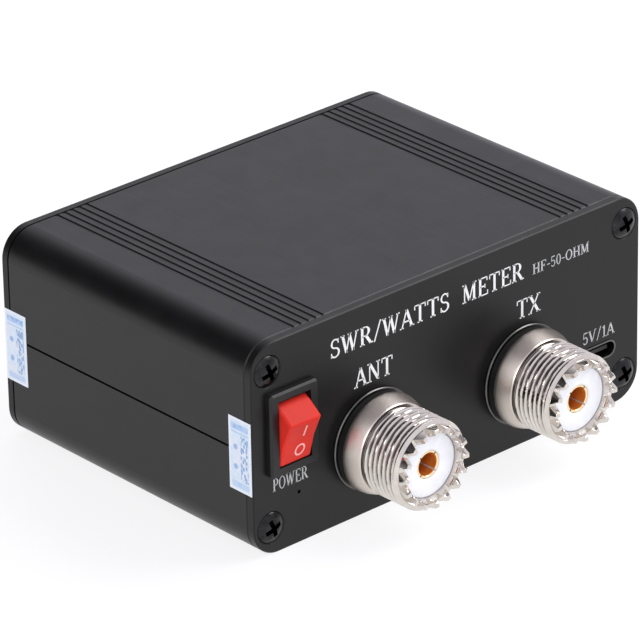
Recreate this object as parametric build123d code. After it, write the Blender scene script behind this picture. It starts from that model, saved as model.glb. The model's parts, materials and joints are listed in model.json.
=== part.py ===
from build123d import *
import math
import os

os.makedirs("parts", exist_ok=True)

# ---------------------------------------------------------------------------
# In-line SWR and power meter in a split extruded aluminium case.
# Millimetres. +Z up, the connector end faces -Y, +X to the right when looking
# at the connector end. Origin: centre of the underside.
# ---------------------------------------------------------------------------

# case
CASE_W = 88.0            # overall width (X)
CASE_H = 38.3            # overall height (Z)
EXT_L = 60.0             # extrusion length (Y)
PLATE_T = 1.5            # end plate thickness
CORNER_R = 5.3           # outside corner radius
WALL = 1.8
SEAM_GAP = 0.4           # visible line between the two halves
SCREW_X = 40.35          # corner screw centres from the middle
SCREW_Z = (5.0, 33.3)
GROOVE_FIRST = 26.8      # innermost groove of each group from the middle
GROOVE_PITCH = 1.6
GROOVE_N = 5
GROOVE_W = 0.8          # width at the surface, sides sloping in to half that
GROOVE_D = 0.17
RAIL_Z = 25.25           # board slot centre in the upper half
RAIL_SLOT = 1.7

FRONT = -(EXT_L / 2 + PLATE_T)      # y of the connector plate's outer face
BACK = EXT_L / 2 + PLATE_T          # y of the display plate's outer face
FRONT_IN = FRONT + PLATE_T
BACK_IN = BACK - PLATE_T
MID_Z = CASE_H / 2

# UHF sockets (distances d are measured outwards from the connector plate)
ANT_X = -17.5
TX_X = 16.6
SOCKET_Z = 13.2
THREAD_R = 7.94          # 5/8-24 UNEF major radius
PANEL_HOLE_R = 6.45
SHANK_R = 6.35
WASHER_R = 9.05
SEAL_R = 8.6
FLANGE_R = 8.85
D_WASHER = 0.5
D_SEAL = 2.0
D_FLANGE_END = 5.3
D_THREAD = (6.15, 13.2)
D_TIP = 15.3
CROWN_R = 7.25           # plain cylinder the crown's notches are cut in
CROWN_TIP_R = 7.15
CROWN_N = 16
FACE_BORE_R = 5.75
CONTACT_R = 2.5
CONTACT_BORE_R = 2.0
CONTACT_BORE_LEN = 10.0
D_CONTACT = 13.0
PIN_END = -10.9

# rocker switch
SW_X = -35.7
SW_Z = 21.8
BEZEL_W, BEZEL_H, BEZEL_T = 10.5, 15.0, 1.25
ROCK_W = 6.75
OPEN_W, OPEN_H = 7.05, 12.0
SW_BODY_W, SW_BODY_H, SW_DEPTH = 8.7, 13.7, 11.8
PIVOT_D = -2.5           # pivot line behind the plate's outer face
PEAK_U, PEAK_V = 4.565, 5.385
TILT = 19.5              # rocker angle either side of neutral
BLADE_RATIO = 0.44
TRUNNION_R = 0.9

# USB-C charge socket
USB_X, USB_Z = 33.9, 11.0
USB_W, USB_H = 9.0, 3.2

# charge light pinhole
LED_X, LED_Z = -34.1, 9.35

# display end
WIN_W, WIN_H = 34.0, 18.0
WIN_Z = 19.15


def save(node, shape):
    if isinstance(shape, (list, tuple, ShapeList)):
        shape = Compound(children=[s for s in shape])
    export_step(shape, f"parts/{node}.step")


def box(x0, x1, y0, y1, z0, z1):
    return Pos((x0 + x1) / 2, (y0 + y1) / 2, (z0 + z1) / 2) * Box(x1 - x0, y1 - y0, z1 - z0)


def cyl_y(x, z, r, y0, y1):
    return Pos(x, (y0 + y1) / 2, z) * Rot(90, 0, 0) * Cylinder(r, abs(y1 - y0))


def cyl_x(y, z, r, x0, x1):
    return Pos((x0 + x1) / 2, y, z) * Rot(0, 90, 0) * Cylinder(r, abs(x1 - x0))


def cyl_z(x, y, r, z0, z1):
    return Pos(x, y, (z0 + z1) / 2) * Cylinder(r, abs(z1 - z0))


def turned(profile, x, z):
    """Solid of revolution about the line through (x, z) along Y.
    profile: closed list of (r, d), d outwards from the connector plate."""
    pts = [(r, -d) for r, d in profile]
    face = make_face(Polyline(*pts, close=True))
    s = revolve(face, Axis.Y)
    return Pos(x, FRONT, z) * s


def slab_xz(sketch, y0, y1, x=0.0, z=0.0):
    """Extrude a sketch drawn in (x, z) between two y values."""
    s = extrude(Plane.XZ * sketch, y1 - y0, dir=(0, 1, 0))
    return Pos(x, y0, z) * s


# ---------------------------------------------------------------------------
# case halves
# ---------------------------------------------------------------------------
outer = slab_xz(RectangleRounded(CASE_W, CASE_H, CORNER_R), -EXT_L / 2, EXT_L / 2, z=MID_Z)
ends = [e for e in outer.edges()
        if abs(abs(e.center().Y) - EXT_L / 2) < 1e-3 and
        abs(abs((e @ 0).Y) - EXT_L / 2) < 1e-3 and abs(abs((e @ 1).Y) - EXT_L / 2) < 1e-3]
outer_ch = chamfer(ends, 0.35)
inner = slab_xz(RectangleRounded(CASE_W - 2 * WALL, CASE_H - 2 * WALL, CORNER_R - WALL),
                -EXT_L / 2 - 1, EXT_L / 2 + 1, z=MID_Z)
ring = outer_ch - inner

bosses = None
for sx in (-1, 1):
    for z in SCREW_Z:
        b = cyl_y(sx * SCREW_X, z, 2.9, -EXT_L / 2, EXT_L / 2)
        bosses = b if bosses is None else bosses + b
ring = ring + (bosses & outer_ch)
rails = []
IN_X = CASE_W / 2 - WALL
for sx in (-1, 1):
    for zc in (RAIL_Z, CASE_H - RAIL_Z):
        for s in (-1, 1):
            z0 = zc + s * (RAIL_SLOT / 2 + 0.5)
            a, b = sorted((sx * (IN_X + 0.3), sx * (IN_X - 1.5)))
            rails.append(box(a, b, -EXT_L / 2, EXT_L / 2, z0 - 0.5, z0 + 0.5))
for r in rails:
    ring = ring + r
for sx in (-1, 1):
    for z in SCREW_Z:
        ring = ring - cyl_y(sx * SCREW_X, z, 1.5, -EXT_L / 2 - 1, EXT_L / 2 + 1)
for sx in (-1, 1):
    for i in range(GROOVE_N):
        gx = sx * (GROOVE_FIRST + i * GROOVE_PITCH)
        for zs, out in ((CASE_H, 1), (0.0, -1)):
            gr = make_face(Polyline((gx - GROOVE_W / 2, zs + out), (gx - GROOVE_W / 2, zs),
                                    (gx - GROOVE_W / 4, zs - out * GROOVE_D), (gx + GROOVE_W / 4, zs - out * GROOVE_D),
                                    (gx + GROOVE_W / 2, zs), (gx + GROOVE_W / 2, zs + out), close=True))
            ring = ring - slab_xz(gr, -EXT_L, EXT_L)

TONGUE = 0.85
LIP = 0.95
upper_zone = box(-60, 60, -40, 40, MID_Z + SEAM_GAP / 2, 60)
lower_zone = box(-60, 60, -40, 40, -5, MID_Z - SEAM_GAP / 2)
tongues = [box(*sorted((s * IN_X, s * (IN_X + TONGUE))), -EXT_L / 2, EXT_L / 2, MID_Z - 1.0, MID_Z + 1.5)
           for s in (-1, 1)]
upper = (ring & upper_zone)
for t in tongues:
    upper = upper + t
lower = (ring & lower_zone)
for s in (-1, 1):
    lower = lower - box(*sorted((s * (IN_X - 1), s * (IN_X + LIP))), -40, 40, MID_Z - 1.05, MID_Z + 2)
save("upper_shell", upper)
save("lower_shell", lower)

# ---------------------------------------------------------------------------
# end plates
# ---------------------------------------------------------------------------


def plate(y0, y1, out):
    p = slab_xz(RectangleRounded(CASE_W, CASE_H, CORNER_R), y0, y1, z=MID_Z)
    yo = y0 if out < 0 else y1
    yi = y1 if out < 0 else y0
    e = [k for k in p.edges() if abs(k.center().Y - yo) < 1e-3]
    p = chamfer(e, 0.2)
    for sx in (-1, 1):
        for z in SCREW_Z:
            p = p - cyl_y(sx * SCREW_X, z, 1.6, y0 - 1, y1 + 1)
            cone = Pos(sx * SCREW_X, yo - out * 0.55, z) * Rot(90 * (1 if out < 0 else -1), 0, 0) * \
                Cone(1.6, 2.95, 1.1)
            p = p - cone
    return p


front_plate = plate(FRONT, FRONT_IN, -1)
for sx in (ANT_X, TX_X):
    front_plate = front_plate - cyl_y(sx, SOCKET_Z, PANEL_HOLE_R, FRONT - 1, FRONT_IN + 1)
front_plate = front_plate - box(SW_X - SW_BODY_W / 2 - 0.05, SW_X + SW_BODY_W / 2 + 0.05, FRONT - 1, FRONT_IN + 1,
                                SW_Z - SW_BODY_H / 2 - 0.05, SW_Z + SW_BODY_H / 2 + 0.05)
front_plate = front_plate - slab_xz(RectangleRounded(USB_W + 0.1, USB_H + 0.1, USB_H / 2), FRONT - 1, FRONT_IN + 1,
                                    x=USB_X, z=USB_Z)
front_plate = front_plate - cyl_y(LED_X, LED_Z, 0.35, FRONT - 1, FRONT_IN + 1)
save("connector_panel", front_plate)

back_plate = plate(BACK_IN, BACK, 1)
back_plate = back_plate - slab_xz(RectangleRounded(WIN_W, WIN_H, 1.5), BACK_IN - 1, BACK + 1, z=WIN_Z)
save("display_panel", back_plate)


def panel_screw(x, z, face, out):
    """Oval-head countersunk cross screw; out is the outward Y sign."""
    prof = [(0, 0.80), (0.7, 0.77), (1.3, 0.66), (1.85, 0.47), (2.3, 0.24), (2.6, 0.02), (2.72, -0.10), (1.45, -1.15),
            (1.45, -9.0), (1.0, -9.6), (0, -9.6)]
    face_ = make_face(Polyline(*[(r, d) for r, d in prof], close=True))
    s = revolve(face_, Axis.Y)
    for a in (0, 90):
        s = s - Rot(0, a + 20, 0) * Pos(0, 0.15, 0) * Box(3.3, 1.5, 0.85)
    if out < 0:
        s = Rot(180, 0, 0) * s
    return Pos(x, face, z) * s


save("connector_panel_screws", [panel_screw(sx * SCREW_X, z, FRONT, -1) for sx in (-1, 1) for z in SCREW_Z])
save("display_panel_screws", [panel_screw(sx * SCREW_X, z, BACK, 1) for sx in (-1, 1) for z in SCREW_Z])

LABEL_T = 0.08
save("seal_label_front", box(-CASE_W / 2 - LABEL_T, -CASE_W / 2, FRONT + 0.25, FRONT + 5.6, 11.8, 25.0))
save("seal_label_rear", box(-CASE_W / 2 - LABEL_T, -CASE_W / 2, BACK - 5.75, BACK - 0.25, 11.0, 24.2))

# ---------------------------------------------------------------------------
# UHF sockets
# ---------------------------------------------------------------------------
NUT_AF = 17.0
NUT_T = 3.0
LOCK_T = 0.8
D_LOCK = -PLATE_T
D_NUT = D_LOCK - LOCK_T
D_SHANK_END = D_NUT - NUT_T - 1.2


def socket(name, x):
    z = SOCKET_Z
    prof = [
        (4.2, D_SHANK_END), (SHANK_R, D_SHANK_END), (SHANK_R, D_SEAL),
        (FLANGE_R - 0.25, D_SEAL), (FLANGE_R, D_SEAL + 0.25), (FLANGE_R, 3.2), (8.62, 4.1), (8.25, 4.85),
        (7.94, D_FLANGE_END), (7.2, D_FLANGE_END + 0.15), (7.2, D_THREAD[0] - 0.35), (THREAD_R, D_THREAD[0]),
        (THREAD_R, D_THREAD[1]), (CROWN_R, 13.55), (CROWN_TIP_R, D_TIP), (6.35, D_TIP),
        (FACE_BORE_R, 14.3), (FACE_BORE_R, 4.2), (4.2, 4.2)]
    body = turned(prof, x, z)
    # crown of notches, teeth pointing along the pin-wise angles
    for i in range(CROWN_N):
        a = (i + 0.5) * 360.0 / CROWN_N
        notch = Polyline((-0.24, 13.6), (0.24, 13.6), (1.28, 15.9), (-1.28, 15.9), close=True)
        n = extrude(Plane.XY * make_face(notch), 4.5)          # local: x tangential, y outwards along d, z radial
        n = Pos(0, 0, 5.2) * n
        n = Rot(180, 0, 0) * n                                  # y -> -Y, z -> -Z
        body = body - Pos(x, FRONT, z) * Rot(0, a, 0) * n
    save(f"{name}_socket_body", body)

    save(f"{name}_flat_washer",
         turned([(PANEL_HOLE_R, 0), (WASHER_R - 0.15, 0), (WASHER_R, 0.15), (WASHER_R, D_WASHER - 0.15),
                 (WASHER_R - 0.15, D_WASHER), (PANEL_HOLE_R, D_WASHER)], x, z))
    save(f"{name}_seal_ring",
         turned([(PANEL_HOLE_R, D_WASHER), (SEAL_R - 0.2, D_WASHER), (SEAL_R, D_WASHER + 0.2), (SEAL_R, D_SEAL - 0.2),
                 (SEAL_R - 0.2, D_SEAL), (PANEL_HOLE_R, D_SEAL)], x, z))
    lock = turned([(PANEL_HOLE_R, D_LOCK), (8.2, D_LOCK), (8.2, D_NUT), (PANEL_HOLE_R, D_NUT)], x, z)
    for i in range(12):
        a = i * 30 + 15
        lock = lock - Pos(x, FRONT - (D_LOCK + D_NUT) / 2, z) * Rot(0, a, 0) * Pos(8.3, 0, 0) * Box(1.2, 2, 0.9)
    save(f"{name}_lock_washer", lock)
    nut = slab_xz(RegularPolygon(NUT_AF / 2, 6, major_radius=False), FRONT - D_NUT, FRONT - D_NUT + NUT_T, x=x, z=z)
    nut = nut - cyl_y(x, z, SHANK_R + 0.02, FRONT, FRONT + 12)
    save(f"{name}_nut", nut)

    ins = turned([(CONTACT_R, D_SHANK_END - 0.6), (4.15, D_SHANK_END - 0.6), (4.15, 4.25),
                  (FACE_BORE_R - 0.03, 4.25), (FACE_BORE_R - 0.03, 13.15), (FACE_BORE_R - 0.2, 13.25),
                  (CONTACT_R + 0.25, 13.25), (CONTACT_R, 13.1)], x, z)
    save(f"{name}_insulator", ins)

    dbore = D_CONTACT - CONTACT_BORE_LEN
    con = turned([(0, PIN_END), (1.5, PIN_END), (1.5, D_SHANK_END - 1.2), (CONTACT_R - 0.02, D_SHANK_END - 0.9),
                  (CONTACT_R - 0.02, D_CONTACT - 0.1),
                  (CONTACT_R - 0.12, D_CONTACT), (CONTACT_BORE_R + 0.12, D_CONTACT),
                  (CONTACT_BORE_R, D_CONTACT - 0.12), (CONTACT_BORE_R, dbore + 0.6),
                  (0, dbore)], x, z)
    for a in (45, 135):
        con = con - Pos(x, FRONT - D_CONTACT + 3.5, z) * Rot(0, a, 0) * Box(6, 7.4, 0.28)
    save(f"{name}_center_contact", con)


socket("ant", ANT_X)
socket("tx", TX_X)

# ---------------------------------------------------------------------------
# rocker switch. Local frame: u along +Z, v outwards (-Y) from the pivot line.
# ---------------------------------------------------------------------------
PIV_Y = FRONT - PIVOT_D


def uv_solid(pts, w, tilt=0.0, x=SW_X):
    """Extrude a (u, v) outline across the switch, centred on x, turned by
    tilt degrees from u towards v about the pivot line."""
    c, s = math.cos(math.radians(tilt)), math.sin(math.radians(tilt))
    q = [(-(u * s + v * c), u * c - v * s) for u, v in pts]      # (y, z)
    face = make_face(Polyline(*q, close=True))
    sol = extrude(Plane.YZ * face, w, dir=(1, 0, 0))
    return Pos(x - w / 2, PIV_Y, SW_Z) * sol


def rot_uv(u, v, tilt):
    c, s = math.cos(math.radians(tilt)), math.sin(math.radians(tilt))
    return (u * c - v * s, u * s + v * c)


# housing
bez = slab_xz(RectangleRounded(BEZEL_W, BEZEL_H, 0.7), FRONT - BEZEL_T, FRONT, x=SW_X, z=SW_Z)
bez = chamfer([e for e in bez.edges() if abs(e.center().Y - (FRONT - BEZEL_T)) < 1e-3], 0.35)
can = box(SW_X - SW_BODY_W / 2, SW_X + SW_BODY_W / 2, FRONT, FRONT + SW_DEPTH, SW_Z - SW_BODY_H / 2,
          SW_Z + SW_BODY_H / 2)
housing = bez + can
CAV_END = SW_DEPTH - 1.0
housing = housing - box(SW_X - OPEN_W / 2, SW_X + OPEN_W / 2, FRONT - 3, FRONT + CAV_END, SW_Z - OPEN_H / 2,
                        SW_Z + OPEN_H / 2)
housing = housing - cyl_x(PIV_Y, SW_Z, TRUNNION_R + 0.05, SW_X - 5, SW_X + 5)

# rocker: shallow V face, rounded ridges and ends, hollow below, stem that holds the plunger
RIDGE = (4.42, 5.33)
END = (5.50, 2.05)
half = [RIDGE, END, (5.80, 0.85), (5.2, 0.3), (2.2, -0.6), (1.75, -1.2), (1.75, -3.6)]
rock_out = [(0, 5.0)] + half + [(-u, v) for u, v in reversed(half)]


def tilted(u, v):
    c, s = math.cos(math.radians(TILT)), math.sin(math.radians(TILT))
    return -(u * s + v * c), u * c - v * s


outline = make_face(Polyline(*[tilted(u, v) for u, v in rock_out], close=True))
for (pu, pv), r in ((RIDGE, 0.42), (END, 0.45)):
    for sg in (-1, 1):
        ty, tz = tilted(sg * pu, pv)
        corner = [k for k in outline.vertices() if math.hypot(k.X - ty, k.Y - tz) < 1e-3]
        outline = fillet(corner, r)
rocker = Pos(SW_X - ROCK_W / 2, PIV_Y, SW_Z) * extrude(Plane.YZ * outline, ROCK_W, dir=(1, 0, 0))
side_edges = [e for e in rocker.edges() if abs(abs(e.center().X - SW_X) - ROCK_W / 2) < 1e-3 and
              (e.center().Y < PIV_Y - 2.6 or (e.center().Y < PIV_Y - 0.2 and abs(e.center().Z - SW_Z) > 5.0))]
for r in (0.45, 0.38, 0.3):
    try:
        rounded = fillet(side_edges, r)
        print("rocker side edges rounded", r, round(rounded.volume, 2))
        rocker = rounded
        break
    except Exception as ex:
        print("rocker side edges not rounded at", r, ex)
rocker = rocker + cyl_x(PIV_Y, SW_Z, TRUNNION_R, SW_X - ROCK_W / 2 - 0.75, SW_X + ROCK_W / 2 + 0.75)


def along_stem(r, v0, v1, tilt=TILT, taper=None):
    """Cylinder on the stem axis between two v values, turned with the rocker."""
    L = abs(v1 - v0)
    c = Cylinder(r, L) if taper is None else Cone(r, taper, L)
    c = Pos(0, 0, (v0 + v1) / 2) * c
    # local z is v; turn so that v -> -Y, then by tilt about X
    return Pos(SW_X, PIV_Y, SW_Z) * Rot(90 + tilt, 0, 0) * c


STEM_R = 0.95
rocker = rocker - along_stem(STEM_R, -4.0, -0.4)
save("switch_rocker", rocker)

PLUNGER_R = 0.87
pl = along_stem(PLUNGER_R, -5.45, -2.5)
tip_u, tip_v = rot_uv(0, -5.45, TILT)
pl = pl + Pos(SW_X, PIV_Y - tip_v, SW_Z + tip_u) * Sphere(PLUNGER_R)
save("switch_plunger", pl)
# closed-coil spring stood for by stacked rings inside the stem bore
rings = []
for i in range(5):
    v = -2.32 + i * 0.4
    rg = Pos(0, 0, v) * Torus(0.72, 0.14)
    rings.append(Pos(SW_X, PIV_Y, SW_Z) * Rot(90 + TILT, 0, 0) * rg)
save("switch_spring", rings)

# see-saw blade, turned the other way about its own edge
BLADE_V = -6.5
BLADE_T = 0.4
bt = -BLADE_RATIO * TILT
BL_PIV_D = PIVOT_D + BLADE_V - BLADE_T / 2
c_, s_ = math.cos(math.radians(bt)), math.sin(math.radians(bt))
bl = [(-4.6, BLADE_T / 2), (4.3, BLADE_T / 2), (4.3, -BLADE_T / 2), (-4.6, -BLADE_T / 2)]
q = [(-(u * s_ + v * c_), u * c_ - v * s_) for u, v in bl]
blade = Pos(SW_X - 1.9, FRONT - BL_PIV_D, SW_Z) * extrude(Plane.YZ * make_face(Polyline(*q, close=True)), 3.8,
                                                         dir=(1, 0, 0))
for s in (-1, 1):
    xa, xb = sorted((SW_X + s * 1.5, SW_X + s * 3.1))
    blade = blade + cyl_x(FRONT - BL_PIV_D, SW_Z, 0.45, xa, xb)
save("switch_contact_blade", blade)

# terminals: a forked cradle for the blade's pivot wire and a fixed contact
FR = FRONT
y_piv = FR - BL_PIV_D
back_in = FR + CAV_END
t_out = FR + SW_DEPTH + 6.5
cradle = box(SW_X - 2.95, SW_X + 2.95, y_piv + 0.95, back_in, SW_Z - 1.0, SW_Z + 1.0)
for s in (-1, 1):
    xa, xb = sorted((SW_X + s * 2.1, SW_X + s * 2.95))
    ear = box(xa, xb, y_piv - 0.9, y_piv + 0.95, SW_Z - 1.0, SW_Z + 1.0)
    cradle = cradle + ear
cradle = cradle - cyl_x(y_piv, SW_Z, 0.5, SW_X - 4, SW_X + 4)
cradle = cradle + box(SW_X - 2.0, SW_X + 2.0, back_in, t_out, SW_Z - 0.4, SW_Z + 0.4)
FIX_Y = FR + 10.05
fix = box(SW_X - 1.9, SW_X + 1.9, FIX_Y + 0.18, back_in, SW_Z - 5.2, SW_Z - 3.0)
fix = fix + box(SW_X - 2.0, SW_X + 2.0, back_in, t_out, SW_Z - 4.8, SW_Z - 4.0)
for z0 in (SW_Z, SW_Z - 4.4):
    hole = cyl_z(SW_X, t_out - 2.0, 0.7, z0 - 1, z0 + 1)
    cradle = cradle - hole
    fix = fix - hole
terminals = [cradle, fix]
for z0, z1 in ((SW_Z - 0.4, SW_Z + 0.4), (SW_Z - 4.8, SW_Z - 4.0)):
    housing = housing - box(SW_X - 2.0, SW_X + 2.0, back_in - 1, t_out, z0, z1)
save("switch_terminals", terminals)
save("switch_housing", housing)

# ---------------------------------------------------------------------------
# USB-C charge socket on its board
# ---------------------------------------------------------------------------
USB_FACE = FRONT - 0.15
USB_BACK = FRONT + 7.4
usb = slab_xz(RectangleRounded(USB_W, USB_H, USB_H / 2 - 0.01), USB_FACE, USB_BACK, x=USB_X, z=USB_Z)
usb = usb - slab_xz(RectangleRounded(USB_W - 0.6, USB_H - 0.6, USB_H / 2 - 0.31), USB_FACE - 1, USB_BACK - 0.8, x=USB_X,
                    z=USB_Z)
save("usb_socket_shell", usb)
tongue = box(USB_X - 3.35, USB_X + 3.35, USB_FACE + 0.9, USB_BACK - 0.8, USB_Z - 0.35, USB_Z + 0.35)
save("usb_tongue", tongue)
CB_Z = USB_Z - USB_H / 2
charger = box(26.6, 40.3, FRONT_IN + 0.3, -13.0, CB_Z - 1.2, CB_Z)
for y in (-26.5, -15.5):
    charger = charger - cyl_z(28.2, y, 0.9, CB_Z - 3, CB_Z + 1)
save("charger_board", charger)
standoffs = [cyl_z(28.2, y, 1.6, WALL, CB_Z - 1.2) - cyl_z(28.2, y, 0.9, CB_Z - 4, CB_Z) for y in (-26.5, -15.5)]
save("charger_components", [box(31.0, 34.9, -21.4, -17.5, CB_Z, CB_Z + 1.0),
                            box(36.2, 39.6, -22.0, -18.6, CB_Z, CB_Z + 2.0),
                            box(36.2, 38.2, -16.6, -15.4, CB_Z, CB_Z + 0.9),
                            box(31.4, 33.4, -15.9, -14.7, CB_Z, CB_Z + 0.9)])

# ---------------------------------------------------------------------------
# directional coupler behind the sockets
# ---------------------------------------------------------------------------
CP_Z0, CP_Z1 = 3.6, 5.2
CP_Y0, CP_Y1 = -24.0, -5.0
coupler = box(-25, 25, CP_Y0, CP_Y1, CP_Z0, CP_Z1)
so_pts = [(-22, -21.5), (22, -21.5), (-22, -7.5), (22, -7.5)]
for px, py in so_pts:
    coupler = coupler - cyl_z(px, py, 1.1, CP_Z0 - 1, CP_Z1 + 1)
save("coupler_board", coupler)
standoffs += [cyl_z(px, py, 2.2, WALL, CP_Z0) + cyl_z(px, py, 1.05, CP_Z0, CP_Z1 + 1.0) for px, py in so_pts]
save("board_standoffs", standoffs)
LINE_Y = FRONT - PIN_END - 1.2          # wire lies across the solder pins
LINE_R = 0.8
LINE_Z = SOCKET_Z + 1.5 + LINE_R
save("through_line", cyl_x(LINE_Y, LINE_Z, LINE_R, ANT_X - 0.9, TX_X + 0.9))
save("line_sleeve", cyl_x(LINE_Y, LINE_Z, 2.0, -8.0, 7.5) - cyl_x(LINE_Y, LINE_Z, LINE_R, -9, 9))


def toroid(x, y, z, ro, ri, w):
    t = cyl_x(y, z, ro, x - w / 2, x + w / 2) - cyl_x(y, z, ri, x - w - 1, x + w + 1)
    e = [k for k in t.edges() if k.geom_type == GeomType.CIRCLE]
    return fillet(e, 0.4)


def winding(x, y, z, ro, ri, w, n, a0, a1, t=0.35):
    """Separate rectangular turns of wire about a toroid whose axis is X."""
    out = []
    for i in range(n):
        a = a0 + (a1 - a0) * i / (n - 1)
        o = Box(w + 2 * t + 0.04, t, (ro - ri) + 2 * t + 0.04) - Box(w + 0.04, 2 * t, (ro - ri) + 0.04)
        o = Pos(0, 0, (ro + ri) / 2) * o
        out.append(Pos(x, y, z) * Rot(a, 0, 0) * o)
    return out


T1 = (0.0, LINE_Y, LINE_Z)
save("current_transformer_core", toroid(*T1, 6.3, 3.1, 4.8))
save("current_transformer_winding", winding(*T1, 6.3, 3.1, 4.8, 12, -130, 130))
T2 = (9.5, -11.0, CP_Z1 + 5.15)
save("voltage_transformer_core", toroid(*T2, 4.75, 2.35, 4.0))
save("voltage_transformer_winding", winding(*T2, 4.75, 2.35, 4.0, 9, -120, 120))
smd = []
for i, px in enumerate((-20.0, -16.5, -13.0, -9.5, 15.5, 18.5)):
    smd.append(box(px, px + 1.6, -12.5, -10.1, CP_Z1, CP_Z1 + 0.9))
    smd.append(box(px, px + 2.0, -8.9, -7.65, CP_Z1, CP_Z1 + 0.7))
save("coupler_components", smd)

# ---------------------------------------------------------------------------
# main board in the upper rails
# ---------------------------------------------------------------------------
MB_Z0, MB_Z1 = RAIL_Z - 0.8, RAIL_Z + 0.8
MB_X = IN_X - 0.3
main = box(-MB_X, MB_X, -10.0, 24.0, MB_Z0, MB_Z1)
save("main_board", main)
save("microcontroller", box(-6.0, 1.0, 2.0, 9.0, MB_Z1, MB_Z1 + 1.4))
amps = [box(14.0 + k * 8, 18.9 + k * 8, 0.0, 3.9, MB_Z1, MB_Z1 + 1.5) for k in (0, 1)]
amps.append(box(-24.0, -19.1, 2.0, 5.9, MB_Z1, MB_Z1 + 1.5))
save("signal_chips", amps)
trims = []
for k in range(3):
    bx = 14.0 + k * 8.0
    b = box(bx, bx + 6.6, 10.0, 16.7, MB_Z1, MB_Z1 + 4.0)
    b = b - (cyl_z(bx + 3.3, 13.35, 1.6, MB_Z1 + 3.4, MB_Z1 + 5))
    b = b + (cyl_z(bx + 3.3, 13.35, 1.4, MB_Z1 + 3.2, MB_Z1 + 4.0) - box(bx + 1.5, bx + 5.1, 13.1, 13.6, MB_Z1 + 3.6,
                                                                     MB_Z1 + 5))
    trims.append(b)
save("trimmers", trims)
conn = []
for px, py in ((-34.0, 12.0), (-22.0, 12.0), (-10.0, 12.0)):
    b = box(px, px + 7.5, py, py + 5.8, MB_Z1, MB_Z1 + 5.0) - box(px + 0.7, px + 6.8, py + 0.7, py + 5.1, MB_Z1 + 1.2,
                                                             MB_Z1 + 6)
    conn.append(b)

# charge light behind its pinhole
led = cyl_y(LED_X, LED_Z, 1.5, FRONT_IN + 0.15, FRONT_IN + 4.2) + cyl_y(LED_X, LED_Z, 1.9, FRONT_IN + 4.2, FRONT_IN + 5.2)
for s in (-1, 1):
    led = led + box(LED_X + s * 1.27 - 0.25, LED_X + s * 1.27 + 0.25, FRONT_IN + 5.2, FRONT_IN + 9.0, LED_Z - 0.25,
                    LED_Z + 0.25)
save("charge_light", led)
save("charge_light_holder", cyl_y(LED_X, LED_Z, 2.7, FRONT_IN, FRONT_IN + 3.6) -
     cyl_y(LED_X, LED_Z, 1.52, FRONT_IN - 1, FRONT_IN + 5))

# ---------------------------------------------------------------------------
# display end
# ---------------------------------------------------------------------------
win = slab_xz(RectangleRounded(WIN_W - 0.1, WIN_H - 0.1, 1.45), BACK_IN, BACK - 0.1, z=WIN_Z)
win = win + slab_xz(RectangleRounded(WIN_W + 4, WIN_H + 4, 2.0), BACK_IN - 1.0, BACK_IN, z=WIN_Z)
save("display_window", win)
gas = slab_xz(RectangleRounded(WIN_W + 3, WIN_H + 3, 1.5), BACK_IN - 1.8, BACK_IN - 1.0, z=WIN_Z) - \
    slab_xz(RectangleRounded(WIN_W - 1, WIN_H - 1, 1.0), BACK_IN - 3, BACK_IN, z=WIN_Z)
save("display_gasket", gas)
glass = slab_xz(Rectangle(WIN_W + 0.6, WIN_H + 1.2), BACK_IN - 3.3, BACK_IN - 1.8, z=WIN_Z)
save("display_glass", glass)
dboard = slab_xz(Rectangle(44.0, 30.0), BACK_IN - 4.9, BACK_IN - 3.3, z=WIN_Z)
for sx in (-1, 1):
    for sz in (-1, 1):
        dboard = dboard - cyl_y(sx * 20.0, WIN_Z + sz * 13.0, 1.2, 20, 32)
save("display_board", dboard)
hdr = box(-5.1, 5.1, BACK_IN - 5.95, BACK_IN - 4.9, WIN_Z + 11.75, WIN_Z + 14.25)
conn.append(hdr)
save("board_connectors", conn)
studs = []
for sx in (-1, 1):
    for sz in (-1, 1):
        st = cyl_y(sx * 20.0, WIN_Z + sz * 13.0, 2.2, BACK_IN - 3.3, BACK_IN)
        st = st + cyl_y(sx * 20.0, WIN_Z + sz * 13.0, 1.15, BACK_IN - 6.0, BACK_IN - 3.3)
        studs.append(st)
save("display_studs", studs)

# ---------------------------------------------------------------------------
# lithium cell on its pad
# ---------------------------------------------------------------------------
BAT = (-27.0, 23.0, -2.5, 22.5)
save("battery_pad", box(BAT[0] + 3, BAT[1] - 3, BAT[2] + 2, BAT[3] - 2, WALL, WALL + 0.8))
bat = box(*BAT, WALL + 0.8, WALL + 8.3)
bat = fillet([e for e in bat.edges() if abs(e.center().X - BAT[0]) < 1e-3 or abs(e.center().X - BAT[1]) < 1e-3], 1.2)
save("battery_cell", bat)


# ---------------------------------------------------------------------------
# internal leads, each a straight run and tangent arcs
# ---------------------------------------------------------------------------
def lead(pts, r, radii):
    path = FilletPolyline(*pts, radius=radii)
    start = Plane(origin=path @ 0, z_dir=path % 0)
    return sweep(start * Circle(r), path=path)


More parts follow.
